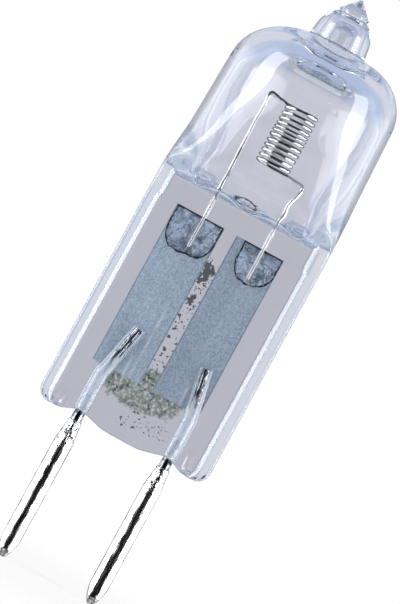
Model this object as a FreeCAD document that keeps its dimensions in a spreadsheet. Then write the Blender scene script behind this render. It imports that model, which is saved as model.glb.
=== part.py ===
import FreeCAD, Part
import math
import os
import re

import Sketcher

# Two-pin halogen capsule bulb, in millimetres. The lamp axis is +Z and the pins point down. X runs across
# the flat pinch from pin to pin. The origin is on the lamp axis, on the flat foot of the pinch.

doc = FreeCAD.newDocument("halogen_capsule_bulb")
sheet = doc.addObject("Spreadsheet::Sheet", "sizes")

sizes = (
    # contact pins
    ("pin_spacing", 6.35, "between the axes of the two pins"),
    ("pin_diameter", 1.25, "barrel of a pin"),
    ("pin_barrel_length", 7.1, "straight stretch at full diameter"),
    ("pin_cone_length", 1.5, "swaged cone between barrel and neck"),
    ("pin_neck_diameter", 0.9, "small end of the cone"),
    ("pin_tip_length", 1.2, "bullet end below the barrel"),
    ("pin_tip_waist", 0.98, "diameter part of the way down the bullet end"),
    ("pin_tip_waist_length", 0.65, "from the barrel to that diameter"),
    ("pin_tip_rounding", 1.2, "curve of the bullet end"),
    ("pin_tip_diameter", 0.4, "flat at the very end"),
    ("pin_standoff", 0.34, "bare lead between pin and glass"),
    # outer leads
    ("lead_diameter", 0.73, "wire that joins pin and foil"),
    ("lead_seat_depth", 3.0, "blind bore for the lead in the pin"),
    ("lead_seat_clearance", 0.01, "radial, lead in its bore"),
    ("lead_bend_height", 3.1, "where the lead turns towards its foil"),
    ("lead_bend_radius", 2.0, "centre line of that turn"),
    ("left_lead_end_x", 2.38, "left lead's end, from the lamp axis"),
    ("left_lead_end_height", 6.67, "left lead's end, above the foot"),
    ("right_lead_end_x", 2.54, "right lead's end, from the lamp axis"),
    ("right_lead_end_height", 6.48, "right lead's end, above the foot"),
    ("lead_capillary", 0.125, "radial gap between lead and glass"),
    # sealing foils
    ("foil_width", 3.4, "across one foil"),
    ("foil_length", 11.24, "along one foil"),
    ("foil_thickness", 0.035, "middle of the section"),
    ("foil_edge_thickness", 0.012, "feathered edge of the section"),
    ("foil_feather", 0.5, "width of the feathered border"),
    ("foil_height", 3.62, "lower edge above the foot"),
    ("left_foil_x", 2.41, "left foil's middle, from the lamp axis"),
    ("right_foil_x", 1.87, "right foil's middle, from the lamp axis"),
    ("weld_gap", 0.01, "between a wire and the foil it is welded to"),
    # unwetted pockets over the foils' upper ends
    ("left_pocket_width", 3.1, "D-shaped pocket in front of the left foil"),
    ("left_pocket_length", 2.67, "down from the foil's upper edge"),
    ("right_pocket_width", 2.72, "D-shaped pocket in front of the right foil"),
    ("right_pocket_length", 2.48, "down from the foil's upper edge"),
    ("right_pocket_shift", 0.31, "its middle, outwards from the foil's middle"),
    ("pocket_rounding", 1.25, "lower corners of both pockets"),
    ("pocket_depth", 0.32, "in front of the foil"),
    # filament
    ("wire_diameter", 0.21, "tungsten wire"),
    ("coil_diameter", 2.14, "middle of the wire"),
    ("coil_pitch", 0.338, "from turn to turn"),
    ("coil_turns", 12, "whole turns, both ends at the back"),
    ("coil_height", 19.9, "lower end of the coil above the foot"),
    ("left_leg_bend_x", 2.42, "where the upper leg turns down"),
    ("left_leg_rise", 0.15, "upper leg climbs from coil to turn"),
    ("left_leg_x", 2.2, "upper leg inside the pinch"),
    ("right_leg_bend_x", 2.55, "where the lower leg turns down"),
    ("right_leg_drop", 0.12, "lower leg falls from coil to turn"),
    ("right_leg_x", 2.08, "lower leg inside the pinch"),
    ("leg_slope_radius", 2.0, "where a leg starts to climb or fall beside the coil"),
    ("leg_bend_radius", 0.27, "turn beside the coil"),
    ("leg_entry_radius", 0.8, "gentle turn above the pinch"),
    ("leg_entry_rise", 0.75, "that turn, above the cavity floor"),
    ("leg_end_height", 12.76, "both legs' ends above the foot"),
    ("leg_capillary", 0.05, "radial gap between leg and glass"),
    # pinch
    ("pinch_width", 12.1, "across the pinch"),
    ("pinch_height", 16.4, "foot to bulb"),
    ("pinch_thickness", 4.2, "over the two edge ribs"),
    ("web_thickness", 3.0, "flat middle of the pinch"),
    ("rib_width", 0.87, "raised rib along each edge"),
    ("rib_rounding", 0.45, "long edges of the ribs"),
    ("rib_overlap", 0.6, "ribs run on into the bulb"),
    ("foot_flat", 2.6, "flat middle of the foot"),
    ("notch_rise", 0.5, "foot cut back round each lead"),
    ("notch_reach", 1.15, "notch, outwards from the pin's axis"),
    ("lobe_flat", 0.825, "foot between a notch and its outer corner's rounding"),
    ("foot_rounding", 1.6, "curves of the foot's lobes"),
    # bulb
    ("bulb_diameter", 11.75, "lower end of the round bulb"),
    ("bulb_height", 20.07, "lower end of the round bulb above the foot"),
    ("bulb_flare_rounding", 9.0, "slight turn from bulb to pinch"),
    ("shoulder_diameter", 11.2, "sides carried up to the dome's level"),
    ("shoulder_height", 28.05, "dome's level at the sides, above the foot"),
    ("shoulder_rounding", 3.1, "curve from side to dome"),
    ("dome_height", 28.3, "dome at the exhaust tip's root"),
    ("bulb_wall", 1.05, "side wall"),
    ("dome_wall", 1.2, "wall under the dome"),
    ("inner_rounding", 2.3, "curve inside the shoulder"),
    ("inner_lip_radius", 2.3, "thickened ring round the exhaust bore"),
    ("inner_lip_drop", 0.6, "how far the ring hangs into the cavity"),
    ("inner_lip_width", 0.8, "slope of the ring"),
    ("inner_lip_rounding", 0.35, "curves of the ring"),
    ("cavity_floor_rise", 0.8, "floor of the cavity above the pinch"),
    ("cavity_floor_depth", 1.0, "floor, front to back"),
    ("cavity_floor_radius", 4.55, "floor, from the lamp axis"),
    ("cavity_taper_height", 22.0, "where the cavity starts to narrow downwards"),
    ("cavity_taper_rounding", 5.0, "curve at that height"),
    ("cavity_break_rise", 1.28, "inner pressed faces steepen here, above the floor"),
    ("cavity_break_depth", 2.8, "those faces there, from the middle"),
    ("cavity_break_rounding", 0.8, "curve there"),
    ("cavity_press_rise", 6.22, "those faces leave the round cavity here, above the floor"),
    ("cavity_press_rounding", 20.0, "curve there"),
    ("press_rise", 6.8, "outer pressed faces leave the round bulb here, above the pinch"),
    ("press_rounding", 24.0, "curve there"),
    ("press_break_rise", 1.4, "those faces turn in to the shoulder here, above the pinch"),
    ("press_break_depth", 3.65, "those faces there, from the middle"),
    ("press_break_rounding", 0.8, "curve there"),
    ("press_foot_rise", 0.2, "shoulder meets the flat web here, above the pinch"),
    ("press_foot_rounding", 0.25, "hollow curve there"),
    ("press_margin", 0.1, "pressed faces start this far outside the bulb"),
    # exhaust tip
    ("tip_diameter", 3.94, "sealed stub of the exhaust tube"),
    ("tip_shoulder_height", 30.2, "where the stub closes in"),
    ("tip_rounding", 1.45, "curve of the stub"),
    ("tip_root_rounding", 0.2, "hollow at the stub's root"),
    ("tip_neck_diameter", 1.9, "under the point"),
    ("tip_neck_height", 30.6, "under the point, above the foot"),
    ("tip_collar_diameter", 2.06, "root of the point"),
    ("tip_collar_height", 30.74, "root of the point, above the foot"),
    ("tip_point_diameter", 0.2, "blunt end of the point"),
    ("tip_point_height", 31.75, "shoulder of the blunt end"),
    ("tip_height", 31.8, "highest point above the foot"),
    ("bore_diameter", 1.5, "hollow of the exhaust tube"),
    ("bore_height", 29.75, "closed end of the hollow"),
    ("bore_rounding", 0.6, "its rounded end"),
)
for row, (alias, value, note) in enumerate(sizes, start=1):
    sheet.set(f"A{row}", note)
    sheet.set(f"B{row}", str(value))
    sheet.setAlias(f"B{row}", alias)
doc.recompute()
aliases = {alias for alias, value, note in sizes}

# Places that several pieces share, as formulas of the sheet
pin_top = "(-pin_standoff)"
pin_shoulder = f"({pin_top} - pin_cone_length)"
foil_front = "(lead_diameter / 2 + weld_gap)"
foil_top = "(foil_height + foil_length)"
leg_y = f"({foil_front} - weld_gap - wire_diameter / 2)"
cavity_floor = "(pinch_height + cavity_floor_rise)"
leg_entry = f"({cavity_floor} + leg_entry_rise)"
rib_top = "(pinch_height + rib_overlap)"
coil_top = "(coil_height + coil_turns * coil_pitch)"
dome_inside = "(shoulder_height - dome_wall)"
left, right = "-1", "1"


def bind(formula):
    """The formula with each sheet name written out for an expression."""
    return re.sub(r"[a-z]\w*", lambda name: ("sizes." if name[0] in aliases else "") + name[0], formula)


def size(formula):
    """What the formula comes to now."""
    found = sheet.evalExpression(formula)
    return float(getattr(found, "Value", found))


def new_body(name):
    return doc.addObject("PartDesign::Body", name)


def new_sketch(body, name, plane, lift=None):
    """An empty sketch on one of the body's own planes, raised along that plane's normal."""
    sketch = body.newObject("Sketcher::SketchObject", name)
    support = next(item for item in body.Origin.OriginFeatures if item.Role == plane)
    sketch.AttachmentSupport = (support, [""])
    sketch.MapMode = "FlatFace"
    if lift:
        sketch.setExpression("AttachmentOffset.Base.z", bind(lift))
    return sketch


def hold(sketch, kind, *where, formula):
    """A dimension of the sketch that follows the sheet."""
    index = sketch.addConstraint(Sketcher.Constraint(kind, *where, size(formula)))
    sketch.setExpression(f"Constraints[{index}]", bind(formula))


def outline(sketch, corners, closed=True):
    """Straight runs between corners. A corner is (across, up) or (across, up, rounding), in formulas."""
    places = [FreeCAD.Vector(size(corner[0]), size(corner[1]), 0) for corner in corners]
    count = len(corners)
    rounded = {}
    for i, corner in enumerate(corners):
        if len(corner) < 3:
            continue
        here = places[i]
        back = (places[i - 1] - here).normalize()
        ahead = (places[(i + 1) % count] - here).normalize()
        half = back.getAngle(ahead) / 2
        radius = size(corner[2])
        reach = radius / math.tan(half)
        centre = here + (back + ahead).normalize() * (radius / math.sin(half))
        rounded[i] = (here + back * reach, centre, here + ahead * reach, radius)

    runs = []
    for i in range(count if closed else count - 1):
        after = (i + 1) % count
        start = rounded[i][2] if i in rounded else places[i]
        end = rounded[after][0] if after in rounded else places[after]
        runs.append(sketch.addGeometry(Part.LineSegment(start, end), False))

    for i, corner in enumerate(corners):
        across, up = corner[:2]
        if i in rounded:
            begin, centre, finish, radius = rounded[i]
            turn = (begin - centre).cross(finish - centre).z
            first, last = (begin, finish) if turn > 0 else (finish, begin)
            angles = [math.atan2(end.y - centre.y, end.x - centre.x) for end in (first, last)]
            circle = Part.Circle(centre, FreeCAD.Vector(0, 0, 1), radius)
            arc = sketch.addGeometry(Part.ArcOfCircle(circle, *angles), False)
            incoming, outgoing = (1, 2) if turn > 0 else (2, 1)
            mark = sketch.addGeometry(Part.Point(places[i]), True)
            before, after = runs[i - 1], runs[i]
            sketch.addConstraint(Sketcher.Constraint("Tangent", before, 2, arc, incoming))
            sketch.addConstraint(Sketcher.Constraint("Tangent", arc, outgoing, after, 1))
            sketch.addConstraint(Sketcher.Constraint("PointOnObject", mark, 1, before))
            sketch.addConstraint(Sketcher.Constraint("PointOnObject", mark, 1, after))
            hold(sketch, "Radius", arc, formula=corner[2])
            held = (mark, 1)
        elif not closed and i == count - 1:
            held = (runs[-1], 2)
        else:
            held = (runs[i], 1)
            if closed or i > 0:
                sketch.addConstraint(Sketcher.Constraint("Coincident", runs[i - 1], 2, runs[i], 1))
        hold(sketch, "DistanceX", -1, 1, *held, formula=across)
        hold(sketch, "DistanceY", -1, 1, *held, formula=up)
    return sketch


def mirrored(corners):
    """The corners given, then the same ones on the other side of the middle."""
    return [*corners, *((f"-({corner[0]})", *corner[1:]) for corner in reversed(corners))]


def turned(name, corners):
    """A piece turned about Z from half of its section."""
    body = new_body(name)
    section = outline(new_sketch(body, f"{name}_section", "XZ_Plane"), corners)
    feature = body.newObject("PartDesign::Revolution", f"{name}_turned")
    feature.Profile = section
    feature.ReferenceAxis = (section, ["V_Axis"])
    feature.Angle = 360
    return body


def padded(name, plane, corners, length, lift=None):
    """A piece of one outline: about its plane, or from a lifted plane along the normal."""
    body = new_body(name)
    feature = body.newObject("PartDesign::Pad", f"{name}_pad")
    feature.Profile = outline(new_sketch(body, f"{name}_outline", plane, lift), corners)
    feature.SideType = "One side" if lift else "Symmetric"
    feature.setExpression("Length", bind(length))
    return body


def piped(name, radius, start, route):
    """A round bar along a route in the XZ plane that starts straight up from the first corner."""
    body = new_body(name)
    ring = new_sketch(body, f"{name}_section", "XY_Plane", lift=start[1])
    centre = FreeCAD.Vector(size(start[0]), 0, 0)
    ring.addGeometry(Part.Circle(centre, FreeCAD.Vector(0, 0, 1), size(radius)), False)
    hold(ring, "DistanceX", -1, 1, 0, 3, formula=start[0])
    ring.addConstraint(Sketcher.Constraint("PointOnObject", 0, 3, -1))
    hold(ring, "Radius", 0, formula=radius)
    path = outline(new_sketch(body, f"{name}_route", "XZ_Plane"), [start, *route], closed=False)
    feature = body.newObject("PartDesign::AdditivePipe", f"{name}_pipe")
    feature.Profile = ring
    feature.Spine = (path, [])
    return body


def combined(kind, name, pieces):
    feature = doc.addObject(kind, name)
    feature.Shapes = pieces
    return feature


def contact_pin(name, side):
    """A pin with a bullet end below and a swaged cone above, bored to take the lead."""
    tip_waist = f"{pin_shoulder} - pin_barrel_length - pin_tip_waist_length"
    tip_end = f"{pin_shoulder} - pin_barrel_length - pin_tip_length"
    bore = "lead_diameter / 2 + lead_seat_clearance"
    bore_floor = f"{pin_top} - lead_seat_depth"
    body = turned(name, [
        ("0", tip_end),
        ("pin_tip_diameter / 2", tip_end),
        ("pin_tip_waist / 2", tip_waist, "pin_tip_rounding"),
        ("pin_diameter / 2", f"{pin_shoulder} - pin_barrel_length"),
        ("pin_diameter / 2", pin_shoulder),
        ("pin_neck_diameter / 2", pin_top),
        (bore, pin_top),
        (bore, bore_floor),
        ("0", bore_floor),
    ])
    body.setExpression("Placement.Base.x", bind(f"{side} * pin_spacing / 2"))
    return body


def lead_route(side, end_x, end_height):
    return [
        (f"{side} * pin_spacing / 2", "lead_bend_height", "lead_bend_radius"),
        (f"{side} * {end_x}", end_height),
    ]


def foil(name, side, middle):
    """A strip with feathered long edges, its front face against the wires."""
    front, thick = foil_front, "foil_thickness"
    slim = "(foil_thickness - foil_edge_thickness) / 2"
    half = "foil_width / 2"
    inner = f"({half} - foil_feather)"
    centre = f"{side} * {middle}"
    return padded(name, "XY_Plane", [
        (f"{centre} - {half}", f"{front} + {slim}"),
        (f"{centre} - {inner}", front),
        (f"{centre} + {inner}", front),
        (f"{centre} + {half}", f"{front} + {slim}"),
        (f"{centre} + {half}", f"{front} + {thick} - {slim}"),
        (f"{centre} + {inner}", f"{front} + {thick}"),
        (f"{centre} - {inner}", f"{front} + {thick}"),
        (f"{centre} - {half}", f"{front} + {thick} - {slim}"),
    ], "foil_length", lift="foil_height")


def weld_pocket(name, centre, width, length):
    """The D-shaped space over a foil's upper end that the glass did not wet."""
    half = f"{width} / 2"
    return padded(name, "XZ_Plane", [
        (f"{centre} - {half}", foil_top),
        (f"{centre} - {half}", f"{foil_top} - {length}", "pocket_rounding"),
        (f"{centre} + {half}", f"{foil_top} - {length}", "pocket_rounding"),
        (f"{centre} + {half}", foil_top),
    ], "pocket_depth", lift=f"-{foil_front}")


def leg_capillary(name, side, leg_x):
    """The bore that a filament leg leaves in the glass, from the cavity floor to the weld pocket."""
    bore = doc.addObject("Part::Cylinder", name)
    bore.setExpression("Radius", bind("wire_diameter / 2 + leg_capillary"))
    bore.setExpression("Height", bind(f"{leg_entry} - leg_end_height"))
    bore.setExpression("Placement.Base.x", bind(f"{side} * {leg_x}"))
    bore.setExpression("Placement.Base.y", bind(leg_y))
    bore.setExpression("Placement.Base.z", bind("leg_end_height"))
    return bore


def pinch():
    """The flattened foot of the lamp: a pressed panel front and back between two edge ribs."""
    notch_side = "pin_spacing / 2 + notch_reach"
    body = padded("pinch", "XZ_Plane", mirrored([
        ("-pinch_width / 2", rib_top),
        ("-pinch_width / 2", "0", f"pinch_width / 2 - ({notch_side}) - lobe_flat"),
        (f"-({notch_side})", "0", "foot_rounding"),
        ("-pin_spacing / 2", "notch_rise", "foot_rounding"),
        ("-foot_flat / 2", "0", "foot_rounding"),
    ]), "pinch_thickness")
    half_width, half_thickness = size("pinch_width / 2"), size("pinch_thickness / 2")
    doc.recompute()
    block = body.Tip
    near = 1e-4
    long_edges = [
        f"Edge{number}"
        for number, edge in enumerate(block.Shape.Edges, start=1)
        if all(
            abs(abs(vertex.X) - half_width) < near and abs(abs(vertex.Y) - half_thickness) < near
            for vertex in edge.Vertexes
        )
    ]
    rounding = body.newObject("PartDesign::Fillet", "rib_edges")
    rounding.Base = (block, long_edges)
    rounding.setExpression("Radius", bind("rib_rounding"))
    for name, face, outwards in (("front", "web_thickness / 2", True), ("back", "-web_thickness / 2", False)):
        panel = new_sketch(body, f"{name}_panel", "XZ_Plane", lift=face)
        outline(panel, mirrored([
            ("-(pinch_width / 2 - rib_width)", rib_top),
            ("-(pinch_width / 2 - rib_width)", "-notch_rise"),
        ]))
        recess = body.newObject("PartDesign::Pocket", f"{name}_recess")
        recess.Profile = panel
        recess.Reversed = outwards
        recess.setExpression("Length", bind("pinch_thickness - web_thickness"))
    return body


def pressed_bulb():
    """The round bulb with its dome and exhaust tip, pressed flat front and back above the pinch."""
    round_bulb = turned("round_bulb", [
        ("0", "pinch_height"),
        ("pinch_width / 2", "pinch_height"),
        ("bulb_diameter / 2", "bulb_height", "bulb_flare_rounding"),
        ("shoulder_diameter / 2", "shoulder_height", "shoulder_rounding"),
        ("tip_diameter / 2", "dome_height", "tip_root_rounding"),
        ("tip_diameter / 2", "tip_shoulder_height", "tip_rounding"),
        ("tip_neck_diameter / 2", "tip_neck_height"),
        ("tip_collar_diameter / 2", "tip_collar_height"),
        ("tip_point_diameter / 2", "tip_point_height"),
        ("0", "tip_height"),
    ])
    beyond = "bulb_diameter / 2 + press_margin"
    jaws = padded("bulb_jaws", "YZ_Plane", mirrored([
        (f"-({beyond})", "tip_height + press_margin"),
        (f"-({beyond})", "pinch_height + press_rise", "press_rounding"),
        ("-press_break_depth", "pinch_height + press_break_rise", "press_break_rounding"),
        ("-web_thickness / 2", "pinch_height + press_foot_rise", "press_foot_rounding"),
        ("-web_thickness / 2", "pinch_height"),
    ]), "pinch_width + bulb_diameter")
    return combined("Part::MultiCommon", "pressed_bulb", [round_bulb, jaws])


def cavity():
    """The gas space: round above, flattened below, with the exhaust bore at its top."""
    lip_edge = f"{dome_inside} - inner_lip_drop"
    round_cavity = turned("round_cavity", [
        ("0", "pinch_height"),
        ("cavity_floor_radius", "pinch_height"),
        ("bulb_diameter / 2 - bulb_wall", "cavity_taper_height", "cavity_taper_rounding"),
        ("shoulder_diameter / 2 - bulb_wall", dome_inside, "inner_rounding"),
        ("inner_lip_radius", dome_inside, "inner_lip_rounding"),
        ("inner_lip_radius - inner_lip_width", lip_edge, "inner_lip_rounding"),
        ("bore_diameter / 2", lip_edge, "inner_lip_rounding"),
        ("bore_diameter / 2", "bore_height", "bore_rounding"),
        ("0", "bore_height"),
    ])
    beyond = "bulb_diameter / 2 - bulb_wall + press_margin"
    jaws = padded("cavity_jaws", "YZ_Plane", mirrored([
        (f"-({beyond})", "tip_height"),
        (f"-({beyond})", f"{cavity_floor} + cavity_press_rise", "cavity_press_rounding"),
        ("-cavity_break_depth", f"{cavity_floor} + cavity_break_rise", "cavity_break_rounding"),
        ("-cavity_floor_depth / 2", cavity_floor),
    ]), "pinch_width + bulb_diameter")
    return combined("Part::MultiCommon", "cavity", [round_cavity, jaws])


def rod(points, roundings, radius):
    """A round wire along straight runs joined by tangent arcs."""
    edges = []
    start = points[0]
    for i, rounding in enumerate(roundings, start=1):
        here = points[i]
        back = (points[i - 1] - here).normalize()
        ahead = (points[i + 1] - here).normalize()
        half = back.getAngle(ahead) / 2
        reach = rounding / math.tan(half)
        inward = (back + ahead).normalize()
        middle = here + inward * (rounding / math.sin(half) - rounding)
        begin, finish = here + back * reach, here + ahead * reach
        edges.append(Part.LineSegment(start, begin).toShape())
        edges.append(Part.Arc(begin, middle, finish).toShape())
        start = finish
    edges.append(Part.LineSegment(start, points[-1]).toShape())
    section = Part.Wire(Part.Circle(points[0], points[1] - points[0], radius).toShape())
    return Part.Wire(edges).makePipeShell([section], True, False)


def leg(name, side, coil_end, bend_x, bend_height, leg_x):
    """One end of the filament wire: straight off the back of the coil, then down into the pinch."""
    at, back = float(side), size("coil_diameter / 2")
    points = [
        FreeCAD.Vector(0, back, size(coil_end)),
        FreeCAD.Vector(at * back, back, size(coil_end)),
        FreeCAD.Vector(at * size(bend_x), back, size(bend_height)),
        FreeCAD.Vector(at * size(leg_x), size(leg_y), size(leg_entry)),
        FreeCAD.Vector(at * size(leg_x), size(leg_y), size("leg_end_height")),
    ]
    wire = doc.addObject("Part::Feature", name)
    roundings = [size("leg_slope_radius"), size("leg_bend_radius"), size("leg_entry_radius")]
    wire.Shape = rod(points, roundings, size("wire_diameter / 2"))
    return wire


def filament():
    """One length of wire: an upright coil on the lamp axis and a leg to each foil."""
    line = doc.addObject("Part::Helix", "coil_line")
    line.setExpression("Radius", bind("coil_diameter / 2"))
    line.setExpression("Pitch", bind("coil_pitch"))
    line.setExpression("Height", bind("coil_turns * coil_pitch"))
    line.Placement.Rotation = FreeCAD.Rotation(FreeCAD.Vector(0, 0, 1), 90)
    line.setExpression("Placement.Base.z", bind("coil_height"))
    ring = doc.addObject("Part::Circle", "coil_wire_section")
    ring.setExpression("Radius", bind("wire_diameter / 2"))
    ring.Placement.Rotation = FreeCAD.Rotation(FreeCAD.Vector(0, 1, 0), 90)
    ring.setExpression("Placement.Base.y", bind("coil_diameter / 2"))
    ring.setExpression("Placement.Base.z", bind("coil_height"))
    doc.recompute()
    coil = doc.addObject("Part::Sweep", "coil")
    coil.Sections = [ring]
    coil.Spine = (line, [f"Edge{i}" for i in range(1, len(line.Shape.Edges) + 1)])
    coil.Solid = True
    coil.Frenet = True
    upper_turn, lower_turn = f"{coil_top} + left_leg_rise", "coil_height - right_leg_drop"
    upper = leg("upper_leg", left, coil_top, "left_leg_bend_x", upper_turn, "left_leg_x")
    lower = leg("lower_leg", right, "coil_height", "right_leg_bend_x", lower_turn, "right_leg_x")
    return combined("Part::MultiFuse", "filament", [coil, upper, lower])


def lead(name, side, end_x, end_height):
    start = (f"{side} * pin_spacing / 2", f"{pin_top} - lead_seat_depth")
    return piped(name, "lead_diameter / 2", start, lead_route(side, end_x, end_height))


def lead_capillary(name, side, end_x, end_height):
    start = (f"{side} * pin_spacing / 2", pin_top)
    return piped(name, "lead_diameter / 2 + lead_capillary", start, lead_route(side, end_x, end_height))


def envelope(hollows):
    """Bulb and pinch are one piece of quartz, less everything that is sealed into it."""
    glass = combined("Part::MultiFuse", "solid_glass", [pressed_bulb(), pinch()])
    for number, hollow in enumerate(hollows, start=1):
        cut = doc.addObject("Part::Cut", f"glass_cut_{number}")
        cut.Base, cut.Tool = glass, hollow
        glass = cut
    glass.Label = "quartz_envelope"
    return glass


left_end = ("left_lead_end_x", "left_lead_end_height")
right_end = ("right_lead_end_x", "right_lead_end_height")
right_pocket_x = f"{right} * (right_foil_x + right_pocket_shift)"

foil_left = foil("foil_left", left, "left_foil_x")
foil_right = foil("foil_right", right, "right_foil_x")
pieces = [
    envelope([
        cavity(),
        leg_capillary("leg_capillary_left", left, "left_leg_x"),
        leg_capillary("leg_capillary_right", right, "right_leg_x"),
        weld_pocket("weld_pocket_left", f"{left} * left_foil_x", "left_pocket_width", "left_pocket_length"),
        weld_pocket("weld_pocket_right", right_pocket_x, "right_pocket_width", "right_pocket_length"),
        lead_capillary("lead_capillary_left", left, *left_end),
        lead_capillary("lead_capillary_right", right, *right_end),
        foil_left,
        foil_right,
    ]),
    filament(),
    foil_left,
    foil_right,
    lead("outer_lead_left", left, *left_end),
    lead("outer_lead_right", right, *right_end),
    contact_pin("contact_pin_left", left),
    contact_pin("contact_pin_right", right),
]
doc.recompute()

for item in doc.Objects:
    if "Invalid" in item.State or "Error" in item.State:
        raise RuntimeError(f"{item.Label} did not build: {item.State}")
for piece in pieces:
    if piece.Shape.isNull() or not piece.Shape.isValid() or len(piece.Shape.Solids) != 1:
        raise RuntimeError(f"{piece.Label} is not one sound solid")

os.makedirs("parts", exist_ok=True)
for piece in pieces:
    piece.Shape.exportStep(f"parts/{piece.Label}.step")
    print(f"{piece.Label}: {piece.Shape.Volume:.3f} mm3")
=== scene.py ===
import math
import bmesh
import bpy
from mathutils import Matrix, Vector, noise


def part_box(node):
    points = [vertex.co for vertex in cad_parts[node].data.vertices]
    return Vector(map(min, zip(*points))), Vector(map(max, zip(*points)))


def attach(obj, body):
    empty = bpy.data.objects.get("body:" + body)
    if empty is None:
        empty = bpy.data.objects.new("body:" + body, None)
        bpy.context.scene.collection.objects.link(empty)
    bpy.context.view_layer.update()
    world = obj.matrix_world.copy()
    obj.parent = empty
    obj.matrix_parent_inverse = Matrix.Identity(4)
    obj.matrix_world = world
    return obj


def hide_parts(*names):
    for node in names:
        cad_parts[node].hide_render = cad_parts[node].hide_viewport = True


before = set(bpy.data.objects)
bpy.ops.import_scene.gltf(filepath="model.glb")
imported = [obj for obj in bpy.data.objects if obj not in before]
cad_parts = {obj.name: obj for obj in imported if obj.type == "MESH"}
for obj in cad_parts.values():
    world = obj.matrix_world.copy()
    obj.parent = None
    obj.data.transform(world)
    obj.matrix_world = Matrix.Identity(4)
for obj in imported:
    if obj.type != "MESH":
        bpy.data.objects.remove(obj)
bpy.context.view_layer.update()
mm = 0.001
print("frame loaded:", len(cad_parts), "nodes")


def cleanSlate():
    if bpy.context.object and bpy.context.object.mode != "OBJECT":
        bpy.ops.object.mode_set(mode="OBJECT")
    bpy.ops.object.select_all(action="DESELECT")


def pickOnly(*pieces):
    cleanSlate()
    for piece in pieces:
        piece.select_set(True)
    bpy.context.view_layer.objects.active = pieces[0]


def smoothStep(low, high, value):
    share = min(1.0, max(0.0, (value - low) / (high - low)))
    return share * share * (3 - 2 * share)


def softMin(a, b, power):  # the lesser of two lengths, with a rounded change-over
    return (max(a, 1e-6) ** -power + max(b, 1e-6) ** -power) ** (-1 / power)


def softMax(a, b, ease):
    return (a + b + math.hypot(a - b, 2 * ease)) / 2


# a chain of points in the XZ plane, mm, drawn by extruding one vertex from corner to corner
def drawLine(name, corners, longest):
    cleanSlate()
    bpy.ops.mesh.primitive_plane_add(size=mm)
    piece = bpy.context.object
    piece.name = piece.data.name = name
    bpy.ops.object.mode_set(mode="EDIT")
    bpy.context.tool_settings.mesh_select_mode = (True, False, False)
    bpy.ops.mesh.select_all(action="SELECT")
    bpy.ops.mesh.merge(type="CENTER")
    places = [Vector((c[0], 0, c[1])) * mm for c in corners]
    bpy.ops.transform.translate(value=places[0])
    for before, after in zip(places, places[1:]):
        bpy.ops.mesh.extrude_region_move(TRANSFORM_OT_translate={"value": after - before})
    for i, corner in enumerate(corners):
        if len(corner) < 3:
            continue
        back, ahead = places[i - 1] - places[i], places[i + 1] - places[i]
        bend = math.pi - back.angle(ahead)
        selectAt(piece, places[i])
        bpy.ops.mesh.bevel(offset=corner[2] * mm * math.tan(bend / 2), affect="VERTICES",
                           segments=max(3, round(math.degrees(bend) / 7)), clamp_overlap=False)
    cutLong(piece, longest)
    return piece


def selectAt(piece, place):
    bpy.ops.mesh.select_all(action="DESELECT")
    cage = bmesh.from_edit_mesh(piece.data)
    for point in cage.verts:
        point.select = (point.co - place).length < 2e-6
    bmesh.update_edit_mesh(piece.data)


def cutLong(piece, longest):  # halves the long runs until none is longer
    while True:
        bpy.ops.mesh.select_all(action="DESELECT")
        cage = bmesh.from_edit_mesh(piece.data)
        tooLong = [run for run in cage.edges if run.calc_length() > longest * mm]
        if not tooLong:
            return
        for run in tooLong:
            run.select = True
        bmesh.update_edit_mesh(piece.data)
        bpy.ops.mesh.subdivide(number_cuts=1)


def turnRound(piece, steps, hollow=False):
    bpy.ops.mesh.select_all(action="SELECT")
    bpy.ops.mesh.spin(steps=steps, angle=2 * math.pi, center=(0, 0, 0), axis=(0, 0, 1))
    bpy.ops.mesh.select_all(action="SELECT")
    bpy.ops.mesh.remove_doubles(threshold=2e-6)
    bpy.ops.mesh.normals_make_consistent(inside=hollow)
    bpy.ops.object.mode_set(mode="OBJECT")
    bpy.ops.object.shade_smooth()


def reshape(piece, rule):  # moves every point by a rule that works in mm
    for point in piece.data.vertices:
        point.co = Vector(rule(*(point.co / mm))) * mm
    piece.data.update()


# a round wire along a path of points, mm
def drawWire(name, path, radius, sides=6, domed=0):
    cleanSlate()
    line = bpy.data.curves.new(name, "CURVE")
    line.dimensions = "3D"
    line.bevel_depth = radius * mm
    line.bevel_resolution = sides
    line.use_fill_caps = True
    run = line.splines.new("POLY")
    run.points.add(len(path) - 1)
    for point, place in zip(run.points, path):
        point.co = (*(Vector(place) * mm), 1)
        if domed:
            left = (Vector(path[-1]) - Vector(place)).length / domed
            point.radius = math.sqrt(max(0.02, 1 - max(0, 1 - left) ** 2))
    piece = bpy.data.objects.new(name, line)
    bpy.context.collection.objects.link(piece)
    pickOnly(piece)
    bpy.ops.object.convert(target="MESH")
    piece = bpy.context.object
    piece.data.name = name
    bpy.ops.object.shade_smooth_by_angle(angle=math.radians(50))
    return piece


def roundCorners(path, radii, pieces=10):  # a path with its corners turned on arcs
    path = [Vector(p) for p in path]
    done = [path[0]]
    for i in range(1, len(path) - 1):
        back, ahead = path[i - 1] - path[i], path[i + 1] - path[i]
        bend = math.pi - back.angle(ahead)
        if bend < 1e-4 or not radii[i - 1]:
            done.append(path[i])
            continue
        cut = radii[i - 1] * math.tan(bend / 2)
        start, end = path[i] + back.normalized() * cut, path[i] + ahead.normalized() * cut
        inwards = (back.normalized() + ahead.normalized()).normalized()
        middle = path[i] + inwards * (radii[i - 1] / math.cos(bend / 2))
        spinAxis = (start - middle).cross(end - middle).normalized()
        for k in range(pieces + 1):
            done.append(middle + Matrix.Rotation(bend * k / pieces, 3, spinAxis) @ (start - middle))
    done.append(path[-1])
    return done


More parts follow.
